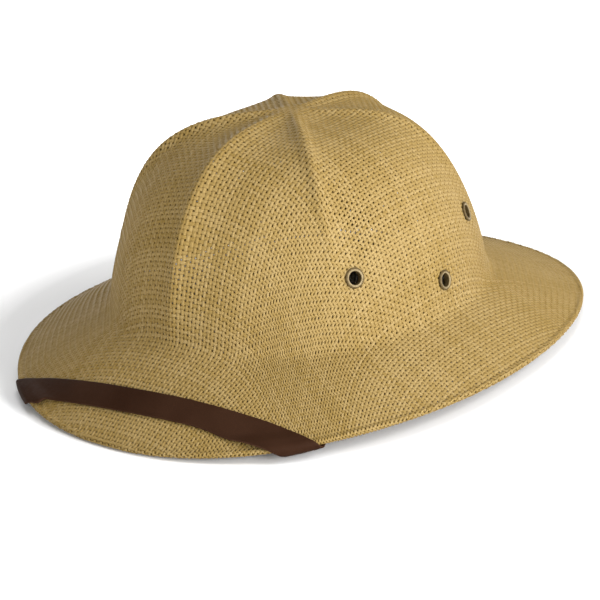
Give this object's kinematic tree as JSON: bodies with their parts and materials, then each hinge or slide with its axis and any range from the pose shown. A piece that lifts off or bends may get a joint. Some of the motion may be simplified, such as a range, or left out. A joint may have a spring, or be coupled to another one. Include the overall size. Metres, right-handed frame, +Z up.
{
  "type": "pith helmet",
  "caption": "Pith helmet of woven paper straw: ridged round crown and sloping brim pressed in one wall, brass vent eyelets, and a flat brown chin strap across the front of the brim.",
  "frame": {"origin": "middle of the helmet's outline seen from above, at the height of the surface that it rests on", "axes": "-Y to the front, +X to the wearer's left, +Z up"},
  "size_m": [0.2586, 0.3389, 0.1268],
  "materials": {
    "straw": "matt woven paper straw",
    "strap": "smooth dark brown imitation leather, half matt",
    "eyelet": "aged brass, half gloss"
  },
  "bodies": {
    "root": {"shell": "straw", "chin_strap": "strap", "eyelet_left_front": "eyelet", "eyelet_left_middle": "eyelet", "eyelet_left_rear": "eyelet", "eyelet_right_front": "eyelet", "eyelet_right_middle": "eyelet", "eyelet_right_rear": "eyelet"}
  },
  "joints": []
}
